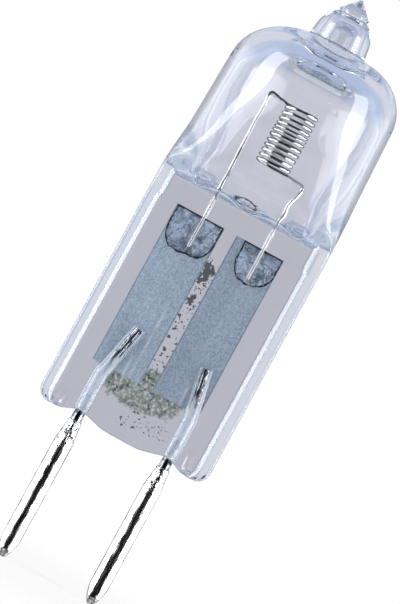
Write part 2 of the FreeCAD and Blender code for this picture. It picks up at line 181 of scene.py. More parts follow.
# quartz: a tube with a dome and an exhaust tip, pressed flat at its foot
quartz = {
    "columns": 160,
    "rings": 0.27,
    "halfWidth": 6.05,
    "ribDepth": 2.1,
    "webDepth": 1.5,
    "panelHalf": {-1: 5.36, 1: 5.22},  # the pinch sits a little to the left of the bulb
    "pinchShift": -0.1,
    "panelStep": (14.75, 15.0, 0.14),  # the panel is this much narrower above the foils
    "panelWall": 0.14,
    "wallTurn": 52.9,  # degrees; the panel's side walls stand between two columns
    "wallColumns": (5.065, 5.218),  # where these two columns fall by themselves
    "pressLine": (61.9, 2, 0.07),  # along each rib: turn and half width in degrees, and depth
    "footCorner": 0.9,
    "footCornerFrom": 3.5,
    "footEdge": 0.28,
    "notch": (1.3, 3.175, 4.325),  # in the foot at each lead: from, highest and to
    "notchRise": 0.5,
    "notchEase": 0.03,
    "notchFade": 2.2,
    "lips": {-1: (4.52, 4.73, 1.4), 1: (4.22, 4.61, 2.1)},  # spurs beside the leads: top, foot, height
    "lipDepth": 0.3,
    "lipSpread": 0.12,
    "blend": (20.2, 16.3),  # between round bulb and flat pinch
    "flatEnd": (21.5, 25.4),  # the flats run out into the round bulb
    "flatEase": (6, 24),  # and meet it more sharply higher up
    "shoulderEase": 0.08,
    "ribEase": 14,  # the three powers: the higher, the sharper the change-over
    "pressEase": 12,
    "pinchEase": 8,
    # the flats of the bulb, and the shoulder below their break
    "press": {"top": 22.94, "topDepth": 5.86, "break": 17.8, "breakDepth": 3.65, "foot": 16.6},
    # half outlines from the top down: radius, height and the rounding of the corner
    "outside": [(0, 31.8), (0.1, 31.75), (1.03, 30.74), (0.95, 30.6), (1.22, 30.42, 0.25),
                (1.78, 29.62, 0.9), (1.99, 28.3, 0.2), (5.6, 28.05, 3.1), (5.875, 20.07, 9.0),
                (6.05, 16.4), (6.05, 0, 0.9), (0, 0)],
    "inside": [(0, 29.75), (0.75, 29.75, 0.6), (0.75, 27.6, 0.5), (1.9, 26.75, 0.2), (2.1, 26.5, 0.12),
               (2.5, 26.85, 0.2), (4.55, 26.85, 2.3), (4.75, 22.0, 5.0), (4.55, 17.2, 0.9), (0, 17.2)],
    "floor": 17.2,
    "floorDepth": 0.5,
    "floorRadius": 3.65,
    "floorSlope": 1.8,
    "dips": [(-3.5, 1.0, 0.55), (-0.06, 1.75, 0.7), (3.45, 1.0, 0.55)],  # middle, half width and depth
    "dipFade": 1.2,
    "wall": 1.14,
    "sag": {"depth": 0.25, "across": (-1.6, -4.6), "up": (23.5, 26.0)},
}
wallTurn = math.radians(quartz["wallTurn"])


def footRise(x):
    near, peak, far = quartz["notch"]
    slope = min((abs(x) - near) / (peak - near), (far - abs(x)) / (far - peak)) * quartz["notchRise"]
    return softMax(slope, 0, quartz["notchEase"]) - quartz["notchEase"]


def pinchSection(turn, z, side):
    wide = quartz["halfWidth"]
    deep = softMin(wide * math.cos(turn), quartz["ribDepth"], quartz["ribEase"])
    across = wide * math.sin(turn) * wide / math.sqrt(wide ** 2 - deep ** 2)
    low, high, narrower = quartz["panelStep"]
    wall = quartz["panelWall"]
    edge = quartz["panelHalf"][side] - wall / 2 - narrower * smoothStep(low, high, z)
    inner, outer = quartz["wallColumns"]
    if turn < wallTurn:
        return across * edge / inner, deep - quartz["ribDepth"] + quartz["webDepth"]
    lineTurn, lineHalf, lineDepth = quartz["pressLine"]
    deep -= lineDepth * max(0, 1 - abs(math.degrees(turn) - lineTurn) / lineHalf)
    return edge + wall + (across - outer) * (wide - edge - wall) / (wide - outer), deep


def lipRise(x, z):  # a pressed spur beside each lead's notch
    top, foot, tall = quartz["lips"][1 if x > 0 else -1]
    if z > tall:
        return 0
    across = (abs(x) - foot - (top - foot) * z / tall) / (quartz["lipSpread"] * (2 - z / tall))
    ends = smoothStep(tall, tall * 0.4, z) * smoothStep(0, 0.25, z)
    return quartz["lipDepth"] * math.exp(-across ** 2) * ends


def flatDepth(z):  # the long, gently leaning flat
    press = quartz["press"]
    lean = (press["topDepth"] - press["breakDepth"]) / (press["top"] - press["break"])
    return press["breakDepth"] + (z - press["break"]) * lean


def flatEase(z):  # how sharply the flats meet the round
    low, high = quartz["flatEase"]
    return low + (high - low) * smoothStep(*quartz["flatEnd"], z)


def shoulderSag(x, z):  # the dome sank a little on its left
    sag = quartz["sag"]
    return sag["depth"] * smoothStep(*sag["across"], x) * smoothStep(*sag["up"], z)


def shoulderDepth(z):
    press = quartz["press"]
    steep = (press["breakDepth"] - quartz["webDepth"]) / (press["break"] - press["foot"])
    return quartz["webDepth"] + (z - press["foot"]) * steep


def pressOutside(x, y, z):
    if z > quartz["flatEnd"][1]:
        return x, y, z - shoulderSag(x, z)
    ax, ay, r = abs(x), abs(y), math.hypot(x, y)
    turn = math.atan2(ax, ay)
    share = smoothStep(*quartz["blend"], z)
    newX, newY = ax, ay
    if z > quartz["press"]["foot"] - 1:
        web = quartz["webDepth"] if turn < wallTurn else quartz["ribDepth"]
        shoulder = softMax(web, shoulderDepth(z), quartz["shoulderEase"])
        depth = softMin(shoulder, flatDepth(z), quartz["pressEase"])
        newY = softMin(ay, depth, flatEase(z)) if ay > 1e-5 else ay
    if share > 0:
        pinchX, pinchY = pinchSection(turn, z, 1 if x > 0 else -1)
        if z > quartz["press"]["foot"] - 1:
            pinchY = softMin(quartz["halfWidth"] * math.cos(turn), depth, quartz["pinchEase"])
        corner = quartz["halfWidth"] - quartz["footCorner"]
        if z < quartz["footCorner"]:
            narrow = max(r, corner) / quartz["halfWidth"]
            rounding = smoothStep(quartz["footCornerFrom"], quartz["halfWidth"], pinchX)
            pinchX *= 1 - (1 - narrow) * rounding
            ease = quartz["footEdge"]
            if z < ease:
                pinchY -= (ease - math.sqrt(ease ** 2 - (ease - z) ** 2)) * min(1, pinchY)
        if r < corner - 0.002:
            pinchX *= r / corner
            pinchY = min(pinchY, quartz["webDepth"] - ease) * r / corner
        if z > 0 and turn < wallTurn:
            pinchY += lipRise(math.copysign(pinchX, x), z)
        newX, newY = newX + (pinchX - newX) * share, newY + (pinchY - newY) * share
    newZ = z + footRise(newX) * max(0, 1 - z / quartz["notchFade"]) - shoulderSag(x, z)
    return math.copysign(newX, x) + quartz["pinchShift"] * share, math.copysign(newY, y), newZ


def floorDip(x):  # the glass sagged between the legs as the pinch closed
    return sum(deep * max(0, 1 - ((x - middle) / half) ** 2) ** 2 for middle, half, deep in quartz["dips"])


def pressInside(x, y, z):
    if z > quartz["flatEnd"][1]:
        return x, y, z - shoulderSag(x, z)
    floorDepth = quartz["floorDepth"] + (z - quartz["floor"]) * quartz["floorSlope"]
    depth = softMin(floorDepth, flatDepth(z) - quartz["wall"], quartz["pressEase"])
    r = math.hypot(x, y)
    chord = abs(y)
    sunk = smoothStep(quartz["floor"] + quartz["dipFade"], quartz["floor"], z)
    newZ = z - floorDip(x) * sunk - shoulderSag(x, z)
    if z < quartz["floor"] + 0.002 and r < quartz["floorRadius"]:
        chord = math.sqrt(max(quartz["floorRadius"] ** 2 - x ** 2, 1e-9))
    if chord < 1e-5:
        return x, y, newZ
    return x, y * softMin(chord, depth, flatEase(z)) / chord, newZ


envelope = drawLine("quartzGlass", quartz["outside"], quartz["rings"])
turnRound(envelope, quartz["columns"])
reshape(envelope, pressOutside)
gasSpace = drawLine("gasSpace", quartz["inside"], quartz["rings"])
turnRound(gasSpace, quartz["columns"] // 2, hollow=True)
reshape(gasSpace, pressInside)
print("quartz pressed:", len(envelope.data.polygons), "faces outside,", len(gasSpace.data.polygons), "inside")

# narrow hollows in the glass: sleeves round the leads and the filament's legs
leads = {
    "radius": 0.365,
    "sleeve": 0.49,
    "sleeveFoot": 0.42,
    "sleeveEnd": 0.22,  # past the lead's end, rounded
    "bendRadius": 2.0,
    "left": [(-3.175, 0, -3.2), (-3.175, 0, 3.1), (-2.38, 0, 6.67)],
    "right": [(3.175, 0, -3.2), (3.175, 0, 3.1), (2.54, 0, 6.48)],
}
filament = {
    "radius": 0.118,
    "coilRadius": 1.07,
    "coilMiddle": 0.06,
    "pitch": 0.35,
    "turns": 12,
    "perTurn": 36,
    "foot": 19.765,
    "bendRadii": (0.8, 0.27, 2),  # at the leg's kink, at its top and into the coil
    "legDepth": 0.26,
    "legFoot": 12.76,
    "kink": 17.45,
    "sleeve": 0.2,
    "sleeveEnds": (14.88, 17.14),
    "left": {"bend": -2.48, "climb": 0.15, "entry": -2.2},
    "right": {"bend": 2.55, "climb": -0.12, "entry": 2.08},
}


def filamentPath():
    low, top = filament["foot"], filament["foot"] + filament["pitch"] * filament["turns"]
    back, leg, middle = filament["coilRadius"], filament["legDepth"], filament["coilMiddle"]
    l, r = filament["left"], filament["right"]
    bends = filament["bendRadii"]
    rightLeg = [(r["entry"], leg, z) for z in (filament["legFoot"], filament["kink"])]
    leftLeg = [(l["entry"], leg, z) for z in (filament["kink"], filament["legFoot"])]
    lower = roundCorners([*rightLeg, (r["bend"], back, low + r["climb"]),
                          (middle + back, back, low), (middle, back, low)], bends)
    upper = roundCorners([(middle, back, top), (middle - back, back, top),
                          (l["bend"], back, top + l["climb"]), *leftLeg], bends[::-1])
    coil = []
    for k in range(1, filament["perTurn"] * filament["turns"]):
        done = k / filament["perTurn"]
        angle = math.pi / 2 + 2 * math.pi * done
        coil.append((middle + back * math.cos(angle), back * math.sin(angle), low + filament["pitch"] * done))
    return [*lower, *coil, *upper]


wirePath = filamentPath()
coilWire = drawWire("filamentWire", wirePath, filament["radius"], sides=4)
print("filament wound:", len(coilWire.data.polygons), "faces")

hollows = []
for side in ("left", "right"):
    path = roundCorners(leads[side], [leads["bendRadius"]])
    lift = leads["sleeveFoot"]
    inGlass = [(path[0][0], 0, lift)] + [p for p in path if p[2] > lift + 0.1]
    ahead = (Vector(inGlass[-1]) - Vector(inGlass[-2])).normalized()
    inGlass += [Vector(path[-1]) + ahead * leads["sleeveEnd"] * k / 8 for k in range(1, 9)]
    hollows.append(drawWire(side + "LeadSleeve", inGlass, leads["sleeve"], domed=leads["sleeveEnd"]))
    x, y = filament[side]["entry"], filament["legDepth"]
    inSeal = [(x, y, z) for z in filament["sleeveEnds"]]
    hollows.append(drawWire(side + "LegSleeve", inSeal, filament["sleeve"]))

# flat D-shaped hollows over the foils' upper ends, each with a crinkled skin that lies on the foil
pockets = {
    "left": {"middle": -2.41, "width": 3.3, "height": 2.67},
    "right": {"middle": 2.18, "width": 2.72, "height": 2.48},
    "top": 14.86,
    "front": 0.055,
    "back": 0.392,
    "rounding": 1.25,
    "pocketCells": 24,
    "skinCells": 44,
    "skinDepth": 0.365,
    "skinWall": 0.006,
    "crinkle": 0.05,
    "foldsPerMm": 1.9,
    "foldSharpness": 2.2,
    "rim": 0.15,
}


# from a square, -1 to 1 both ways, to the D; the third number tells how near the rim is
def pullIntoD(side, across, down):
    own, radius = pockets[side], pockets["rounding"]
    half, tall = own["width"] / 2, own["height"]
    x, z = abs(across) * half, (1 - down) / 2 * tall  # z counts up from the D's foot
    cornerX = half - radius
    edge = min(half - x, tall - z, z)
    if x > cornerX and z < radius:
        outwards = Vector((x - cornerX, radius - z))
        longer = max(outwards)
        if longer > 1e-6:
            outwards = outwards.normalized() * longer
        x, z, edge = cornerX + outwards.x, radius - outwards.y, radius - longer
    spot = Vector((across * 1.7 + own["middle"], down * 1.7, 3.1))
    wobble = 0.05 * noise.noise(spot) + 0.03 * noise.noise(spot * 3)
    sag = (1 - z / tall) * (0.2 * noise.noise(spot + Vector((7, 0, 0))) + 0.1 * noise.noise(spot * 3))
    near = 1 - min(1.0, edge / (pockets["rim"] * (0.8 + 0.6 * noise.noise(spot * 4))))
    return own["middle"] + math.copysign(x, across) * (1 + wobble), pockets["top"] - tall + z + sag, near


def flatD(name, side, cells):  # a grid pulled into the D's outline, flat at the middle of the lamp
    cleanSlate()
    bpy.ops.mesh.primitive_grid_add(x_subdivisions=cells, y_subdivisions=cells, size=2,
                                    rotation=(math.pi / 2, 0, 0))
    piece = bpy.context.object
    piece.name = piece.data.name = name
    bpy.ops.object.transform_apply(location=True, rotation=True, scale=True)
    nearness = piece.data.attributes.new("rim", "FLOAT", "POINT")
    for point, near in zip(piece.data.vertices, nearness.data):
        x, z, near.value = pullIntoD(side, point.co.x, -point.co.z)
        point.co = Vector((x, 0, z)) * mm
    return piece


skins = {}
for side in ("left", "right"):
    pocket = flatD(side + "Pocket", side, pockets["pocketCells"])
    for point in pocket.data.vertices:
        point.co.y = pockets["back"] * mm
    bpy.ops.object.mode_set(mode="EDIT")
    bpy.ops.mesh.select_all(action="SELECT")
    forwards = (0, (pockets["front"] - pockets["back"]) * mm, 0)
    bpy.ops.mesh.extrude_region_move(TRANSFORM_OT_translate={"value": forwards})
    bpy.ops.object.mode_set(mode="OBJECT")
    hollows.append(pocket)

    skin = flatD(side + "SealSkin", side, pockets["skinCells"])
    nearness = skin.data.attributes["rim"].data
    for point, near in zip(skin.data.vertices, nearness):
        place = point.co / mm * pockets["foldsPerMm"]
        fold = 1 - abs(noise.noise(place) + 0.5 * noise.noise(place * 2.7)) * pockets["foldSharpness"]
        point.co.y = (pockets["skinDepth"] - pockets["crinkle"] * max(0, fold) * (1 - near.value)) * mm
    wall = skin.modifiers.new("wall", "SOLIDIFY")
    wall.thickness, wall.offset = pockets["skinWall"] * mm, -1
    bpy.ops.object.modifier_apply(modifier=wall.name)
    bpy.ops.object.shade_smooth_by_angle(angle=math.radians(60))
    skins[side] = skin

for hollow in hollows:
    pickOnly(hollow)
    bpy.ops.object.mode_set(mode="EDIT")
    bpy.ops.mesh.select_all(action="SELECT")
    bpy.ops.mesh.remove_doubles(threshold=2e-6)
    bpy.ops.mesh.normals_make_consistent(inside=True)
    bpy.ops.object.mode_set(mode="OBJECT")
    bpy.ops.object.shade_smooth_by_angle(angle=math.radians(40))
pickOnly(envelope, gasSpace, *hollows)
bpy.ops.object.join()
print("hollows joined:", len(envelope.data.polygons), "faces of glass")

# leads and pins
leadPieces = {}
for side in ("left", "right"):
    path = roundCorners(leads[side], [leads["bendRadius"]])
    leadPieces[side] = drawWire(side + "Lead", path, leads["radius"], sides=8)

pins = {
    "outline": [(0, -10.14), (0.2, -10.14, 0.03), (0.47, -9.6, 0.5), (0.625, -8.94, 1.2), (0.625, -1.84, 0.6),
                (0.52, -1.1, 0.8), (0.45, -0.34, 0.05), (0.38, -0.34), (0.38, -3.2), (0, -3.2)],
    "places": {"left": -3.175, "right": 3.175},
    "steps": 48,
    "rings": 0.12,
    "bore": 0.4,
    "swage": (-1.9, -0.4, 0.03),  # from, to and depth of the hammered cone
}
pinPieces = {}
for side, x in pins["places"].items():
    pin = drawLine(side + "Pin", pins["outline"], pins["rings"])
    turnRound(pin, pins["steps"])
    low, high, depth = pins["swage"]
    for point in pin.data.vertices:
        place = point.co / mm
        hammered = smoothStep(low, low + 0.3, place.z) * smoothStep(high, high - 0.2, place.z)
        if math.hypot(place.x, place.y) > pins["bore"]:
            point.co.xy *= 1 + depth * 2 * hammered * noise.noise(place * 3.1 + Vector((x, 0, 0)))
        point.co.x += x * mm
    bpy.ops.object.shade_smooth_by_angle(angle=math.radians(40))
    pinPieces[side] = pin
print("leads and pins made")

# worn ink on the back of the pinch: a mottled field with no lettering
ink = {
    "across": (-4.2, 3.6),
    "up": (0.7, 13.2),
    "depth": 1.506,
    "cells": (39, 62),
    "patch": ((-0.55, 3.4), (3.1, 1.6)),  # place, half width and height
    "raggedTo": 1.3,  # times that size
    "strip": (-1.1, 0.5, 12.8),  # between the foils: from, to and top
    "spatter": ((1.3, 1.5), (1.5, 0.75)),  # place, half width and height
    "blots": [((-0.35, 11.9), (0.5, 0.75)), ((-0.5, 9.9), (0.3, 0.6))],
}


def inEllipse(x, z, spot, halves, size=1):
    return math.hypot((x - spot[0]) / halves[0], (z - spot[1]) / halves[1]) < size


cleanSlate()
bpy.ops.mesh.primitive_grid_add(x_subdivisions=ink["cells"][0], y_subdivisions=ink["cells"][1], size=mm,
                                rotation=(-math.pi / 2, 0, 0))
inkField = bpy.context.object
inkField.name = inkField.data.name = "inkField"
inkField.scale = (ink["across"][1] - ink["across"][0], ink["up"][1] - ink["up"][0], 1)
inkField.location = Vector((sum(ink["across"]) / 2, ink["depth"], sum(ink["up"]) / 2)) * mm
bpy.ops.object.transform_apply(location=True, rotation=True, scale=True)
bpy.ops.object.mode_set(mode="EDIT")
bpy.context.tool_settings.mesh_select_mode = (False, False, True)
bpy.ops.mesh.select_all(action="DESELECT")
cage = bmesh.from_edit_mesh(inkField.data)
left, right, top = ink["strip"]
for cell in cage.faces:  # bare glass is cut away
    x, _, z = cell.calc_center_median() / mm
    inked = inEllipse(x, z, *ink["patch"], ink["raggedTo"]) or inEllipse(x, z, *ink["spatter"])
    cell.select = not (inked or left < x < right and z < top)
bmesh.update_edit_mesh(inkField.data)
bpy.ops.mesh.delete(type="FACE")
bpy.ops.object.mode_set(mode="OBJECT")
print("ink cut out:", len(inkField.data.polygons), "faces")


# materials: shared fields first, then one finish each
def newGroup(name, inputs, outputs):
    tree = bpy.data.node_groups.new(name, "ShaderNodeTree")
    for socket, kind, start in inputs:
        tree.interface.new_socket(socket, in_out="INPUT", socket_type=kind).default_value = start
    for socket, kind in outputs:
        tree.interface.new_socket(socket, in_out="OUTPUT", socket_type=kind)
    return tree, tree.nodes.new("NodeGroupInput"), tree.nodes.new("NodeGroupOutput")


def addNode(tree, kind, links=None, **values):
    node = tree.nodes.new(kind)
    for key, value in values.items():
        if key in node.inputs:
            node.inputs[key].default_value = value
        else:
            setattr(node, key, value)
    for socket, source in (links or {}).items():
        tree.links.new(source, node.inputs[socket])
    return node


def ramp(tree, source, stops):
    node = tree.nodes.new("ShaderNodeValToRGB")
    while len(node.color_ramp.elements) < len(stops):
        node.color_ramp.elements.new(0.5)
    for element, (place, colour) in zip(node.color_ramp.elements, stops):
        element.position = place
        element.color = (*colour, 1) if isinstance(colour, tuple) else (colour, colour, colour, 1)
    tree.links.new(source, node.inputs[0])
    return node.outputs[0]


def mixColours(tree, share, under, over, blend="MIX"):
    node = addNode(tree, "ShaderNodeMix", data_type="RGBA", blend_type=blend)
    for socket, source in ((node.inputs[0], share), (node.inputs[6], under), (node.inputs[7], over)):
        if isinstance(source, tuple):
            socket.default_value = (*source, 1)
        elif isinstance(source, (int, float)):
            socket.default_value = source
        else:
            tree.links.new(source, socket)
    return node.outputs[2]


def mathNode(tree, operation, *sources):
    node = addNode(tree, "ShaderNodeMath", operation=operation)
    for socket, source in zip(node.inputs, sources):
        if isinstance(source, (int, float)):
            socket.default_value = source
        else:
            tree.links.new(source, socket)
    return node.outputs[0]


def times(tree, a, b):
    return mathNode(tree, "MULTIPLY", a, b)


def either(tree, a, b):
    return mathNode(tree, "MAXIMUM", a, b)


def opposite(tree, mask):
    return mathNode(tree, "SUBTRACT", 1.0, mask)


def coords(tree, kind):
    return tree.nodes.new("ShaderNodeTexCoord").outputs[kind]


def objectInMm(tree):
    return addNode(tree, "ShaderNodeVectorMath", {0: coords(tree, "Object")}, operation="SCALE",
                   Scale=1 / mm).outputs[0]


def ownNormal(tree):  # in the piece's own axes
    return addNode(tree, "ShaderNodeSeparateXYZ", {0: coords(tree, "Normal")}).outputs


def softRange(tree, source, low, high):
    node = addNode(tree, "ShaderNodeMapRange", {"Value": source}, interpolation_type="SMOOTHSTEP")
    node.inputs["From Min"].default_value, node.inputs["From Max"].default_value = low, high
    return node.outputs[0]


# noise stretched by its scale, in turns per mm along X, Y and Z
def makeGrainField():
    tree, given, put = newGroup(
        "grainField", [("Per mm", "NodeSocketVector", (1, 1, 1)), ("Detail", "NodeSocketFloat", 3.0)],
        [("Field", "NodeSocketFloat")])
    stretched = addNode(tree, "ShaderNodeVectorMath", {0: objectInMm(tree), 1: given.outputs["Per mm"]},
                        operation="MULTIPLY")
    speckle = addNode(tree, "ShaderNodeTexNoise",
                      {"Vector": stretched.outputs[0], "Detail": given.outputs["Detail"]},
                      Scale=1.0, Roughness=0.6)
    tree.links.new(speckle.outputs["Fac"], put.inputs["Field"])
    return tree


# 0 to 1 along one axis, or out from the middle or the flat plane, between two places in mm
def makeReach():
    names = ("Along X", "Along Y", "Along Z", "Off Middle", "Off Face")
    tree, given, put = newGroup(
        "reach", [("From", "NodeSocketFloat", 0.0), ("To", "NodeSocketFloat", 1.0)],
        [(name, "NodeSocketFloat") for name in names])
    x, y, z = addNode(tree, "ShaderNodeSeparateXYZ", {0: objectInMm(tree)}).outputs
    for name, length in zip(names, (x, y, z, mathNode(tree, "ABSOLUTE", x), mathNode(tree, "ABSOLUTE", y))):
        span = addNode(tree, "ShaderNodeMapRange",
                       {"Value": length, "From Min": given.outputs["From"], "From Max": given.outputs["To"]},
                       interpolation_type="SMOOTHSTEP")
        tree.links.new(span.outputs[0], put.inputs[name])
    return tree


grainField, reachField = makeGrainField(), makeReach()


def newFinish(name):
    finish = bpy.data.materials.new(name)
    finish.use_nodes = True
    tree = finish.node_tree
    return finish, tree, tree.nodes["Principled BSDF"]


def grain(tree, perMm, detail=3.0):
    node = addNode(tree, "ShaderNodeGroup", node_tree=grainField)
    node.inputs["Per mm"].default_value, node.inputs["Detail"].default_value = perMm, detail
    return node.outputs["Field"]


def reach(tree, low, high, along="Along Z"):
    node = addNode(tree, "ShaderNodeGroup", node_tree=reachField)
    node.inputs["From"].default_value, node.inputs["To"].default_value = low, high
    return node.outputs[along]


def sway(tree, perMm, amount, detail=3.0):  # noise about zero
    return times(tree, mathNode(tree, "SUBTRACT", grain(tree, perMm, detail), 0.5), amount)


def stripe(tree, middle, half):  # an upright stripe with soft edges, at a place along X in mm
    return times(tree, reach(tree, middle - half, middle, "Along X"),
                 reach(tree, middle + half, middle, "Along X"))


def fromSpot(tree, spot, halves):  # 0 at a place in the XZ plane and 1 on the ellipse round it, mm
    place = addNode(tree, "ShaderNodeVectorMath", {0: coords(tree, "Object")}, operation="SUBTRACT")
    place.inputs[1].default_value = (spot[0] * mm, 0, spot[1] * mm)
    flatter = addNode(tree, "ShaderNodeVectorMath", {0: place.outputs[0]}, operation="MULTIPLY")
    flatter.inputs[1].default_value = (1 / (halves[0] * mm), 0, 1 / (halves[1] * mm))
    return addNode(tree, "ShaderNodeVectorMath", {0: flatter.outputs[0]}, operation="LENGTH").outputs["Value"]


def bump(tree, shader, height, strength, distance):
    node = addNode(tree, "ShaderNodeBump", {"Height": height}, Strength=strength, Distance=distance * mm)
    tree.links.new(node.outputs[0], shader.inputs["Normal"])


def dress(piece, finish):
    piece.data.materials.clear()
    piece.data.materials.append(finish)


# painted shade and light in the quartz's colour: grey in the pinch, paler on its ribs, clear in its hollows,
# pale grey in the bulb and darker in the stub and the cone
paintedQuartzTones = {
    "pinch": (0.67, 0.672, 0.705),
    "ribs": (0.95, 0.955, 0.985),
    "hollows": (1.0, 1.0, 1.0),
    "bulb": (0.92, 0.922, 0.946),
    "stub": (0.83, 0.845, 0.875),
    "cone": (0.66, 0.675, 0.70),
    "paintedFoldDark": (0.003, 0.003, 0.004),
    "paintedFoldBlue": (0.22, 0.34, 0.6),
}
# painted shade and light of the floor's folds: near-black rings at the middle fold and blue rings at the side
# folds
paintedDarkRingSteps = [(0.1, 0.0), (0.2, 0.9), (0.32, 0.0), (0.6, 0.0), (0.7, 1.0), (0.82, 1.0), (0.95, 0.0)]
paintedBlueRingSteps = [(0.1, 0.8), (0.25, 0.0), (0.4, 0.0), (0.5, 1.0), (0.62, 0.1), (0.8, 0.9), (1.0, 0.0)]
paintedFoldRings = [  # place, half width and height, colour and rings
    ((-0.3, 17.2), (1.0, 0.36), paintedQuartzTones["paintedFoldDark"], paintedDarkRingSteps),
    ((-3.45, 17.45), (1.15, 0.48), paintedQuartzTones["paintedFoldBlue"], paintedBlueRingSteps),
    ((3.45, 17.38), (1.05, 0.46), paintedQuartzTones["paintedFoldBlue"], paintedBlueRingSteps),
]


def glassFinish():
    finish, tree, shader = newFinish("clearQuartz")
    ribs, hollow = reach(tree, 5.15, 5.4, "Off Middle"), reach(tree, 0.7, 0.6, "Off Face")
    # painted shade and light: the quartz's colour set by region, grey pinch, paler ribs, darker stub and cone
    pinchPaintedTone = mixColours(tree, ribs, paintedQuartzTones["pinch"], paintedQuartzTones["ribs"])
    pinchPaintedTone = mixColours(tree, hollow, pinchPaintedTone, paintedQuartzTones["hollows"])
    bulbPaintedTone = mixColours(tree, reach(tree, 28.2, 28.6), paintedQuartzTones["bulb"], paintedQuartzTones["stub"])
    paintedTone = mixColours(tree, reach(tree, 16.25, 16.6), pinchPaintedTone, bulbPaintedTone)
    paintedTone = mixColours(tree, reach(tree, 30.5, 30.8), paintedTone, paintedQuartzTones["cone"])
    upperWall = times(tree, reach(tree, 2.25, 2.15, "Off Face"), reach(tree, 17.0, 17.1))
    lowerWall = times(tree, reach(tree, 1.45, 1.4, "Off Face"), reach(tree, 16.6, 16.7))
    inside = times(tree, either(tree, upperWall, lowerWall), reach(tree, 0.0, -0.3, "Along Y"))
    for spot, halves, colour, rings in paintedFoldRings:  # painted shade and light at the folds in the floor, where the pinch closed: near-black and blue rings, on the front half only
        away = mathNode(tree, "ADD", fromSpot(tree, spot, halves), sway(tree, (1.5, 1.5, 2.5), 1.2))
        paintedTone = mixColours(tree, times(tree, ramp(tree, away, rings), inside), paintedTone, colour)
    clouds = ramp(tree, grain(tree, (0.5, 0.5, 0.5)), [(0.3, 0.96), (0.7, 1.0)])
    tree.links.new(mixColours(tree, 1.0, paintedTone, clouds, "MULTIPLY"), shader.inputs["Base Color"])
    pulled = ramp(tree, grain(tree, (0.16, 0.16, 5.0), 2.0), [(0.5, 0.0), (0.62, 1.0)])  # marks of the press
    nearPress = times(tree, reach(tree, 17.6, 18.4), reach(tree, 21.0, 19.2))
    marks = times(tree, times(tree, pulled, nearPress), 3.0)
    waves = times(tree, grain(tree, (0.55, 0.55, 0.3)), 3.0)
    bump(tree, shader, mathNode(tree, "ADD", marks, waves), 0.03, 0.1)
    shader.inputs["Roughness"].default_value = 0.0
    shader.inputs["IOR"].default_value = 1.46
    shader.inputs["Transmission Weight"].default_value = 1.0
    return finish


def tungstenFinish():
    finish, tree, shader = newFinish("tungsten")
    # painted light and shade: the wire darker on its front and sides, near black in the gaps between turns,
    # paler and less metallic on the coil's back half and undersides
    facing = ownNormal(tree)["Z"]
    upright = mathNode(tree, "ABSOLUTE", facing)
    drawn = times(tree, grain(tree, (9, 9, 9)), 0.1)
    gapShadeMask = times(tree, mathNode(tree, "ADD", upright, drawn), reach(tree, 0.4, 0.62, "Off Middle"))
    shade = ramp(tree, gapShadeMask, [(0.72, (0.30, 0.297, 0.293)), (0.95, (0.1, 0.1, 0.11))])
    low, top = filament["foot"], filament["foot"] + filament["pitch"] * filament["turns"]
    wound = times(tree, reach(tree, low + 0.1, low + 0.2), reach(tree, top - 0.1, top - 0.2))
    behind = times(tree, reach(tree, 0.2, 0.7, "Along Y"), wound)
    bars = times(tree, reach(tree, 1.15, 1.3, "Off Middle"), 0.45)
    underside = softRange(tree, mathNode(tree, "SUBTRACT", facing, bars), -0.3, -0.6)
    paintedLight = either(tree, behind, underside)  # painted light, where light from below and from behind falls
    # painted light on the legs low in the seal
    paintedLight = either(tree, paintedLight, times(tree, reach(tree, 17.2, 16.6), 0.4))
    # painted light on the right end of the lower bar
    lowerBar = times(tree, reach(tree, low + 0.25, low + 0.15), reach(tree, 1.1, 1.3, "Along X"))
    paintedLight = either(tree, paintedLight, times(tree, lowerBar, 0.7))
    tree.links.new(mixColours(tree, paintedLight, shade, (0.8, 0.79, 0.78)), shader.inputs["Base Color"])
    tree.links.new(opposite(tree, times(tree, paintedLight, 0.5)), shader.inputs["Metallic"])
    shader.inputs["Roughness"].default_value = 0.12
    return finish


def foilFinish(side, tone, creaseHighlights):
    finish, tree, shader = newFinish(side + "Foil")
    low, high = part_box("foil_" + side)
    rolled = ramp(tree, grain(tree, (12, 12, 8), 6.0),
                  [(0.33, (0.40, 0.49, 0.57)), (0.67, (0.77, 0.89, 0.98))])
    # faint lengthwise light bands, a painted sheen of the foil's ripples
    bands = ramp(tree, grain(tree, (0.9, 0.9, 0.07), 2.0), [(0.42, 0.9 * tone), (0.62, tone)])
    shade = mixColours(tree, 1.0, rolled, bands, "MULTIPLY")
    broken = ramp(tree, grain(tree, (1.5, 1.5, 1.1), 4.0), [(0.4, 0.1), (0.62, 0.7)])
    # painted highlights along the lengthwise creases
    for crease, top in creaseHighlights:
        paintedCreaseHighlight = times(tree, stripe(tree, crease, 0.17), reach(tree, top, top - 2))
        shade = mixColours(tree, times(tree, paintedCreaseHighlight, broken), shade, (0.95, 1.0, 1.0))
    feather = 0.05
    edges = either(tree, stripe(tree, low.x / mm + feather, feather),
                   stripe(tree, high.x / mm - feather, feather))
    shade = mixColours(tree, times(tree, edges, 0.6), shade, (0.05, 0.06, 0.08))
    tree.links.new(shade, shader.inputs["Base Color"])
    dull = ramp(tree, grain(tree, (5, 5, 0.8)), [(0.3, 0.5), (0.7, 0.68)])
    tree.links.new(dull, shader.inputs["Roughness"])
    bump(tree, shader, grain(tree, (1.1, 1.1, 0.1), 2.0), 0.25, 0.12)
    shader.inputs["Metallic"].default_value = 0.5
    return finish


